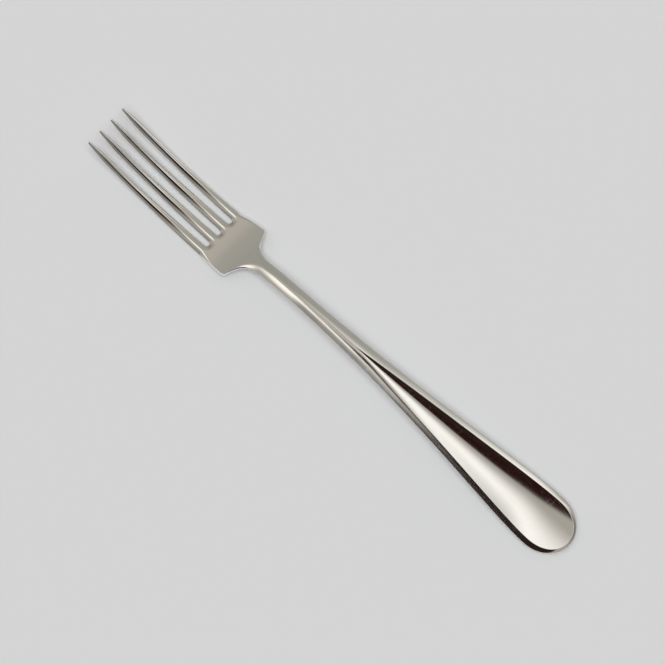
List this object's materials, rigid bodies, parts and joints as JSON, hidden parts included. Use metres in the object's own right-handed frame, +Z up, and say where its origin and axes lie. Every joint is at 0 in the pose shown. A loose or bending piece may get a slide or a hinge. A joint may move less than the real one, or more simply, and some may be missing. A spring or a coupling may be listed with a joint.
{
  "type": "dessert fork",
  "caption": "Dessert fork with tapered tines on a shouldered palm, a slender ridged stem and a flared handle with a teardrop-shaped hollow.",
  "frame": {"origin": "centre of the fork's footprint on the table it lies on", "axes": "+X along the fork from the tine tips to the handle end, +Y to its left, +Z up out of the hollow of the handle"},
  "size_m": [0.1746, 0.0174, 0.0085],
  "materials": {
    "silver": "polished"
  },
  "bodies": {
    "root": {"tine_1": "silver", "tine_2": "silver", "tine_3": "silver", "tine_4": "silver", "palm": "silver", "neck": "silver", "stem": "silver", "handle": "silver"}
  },
  "joints": []
}
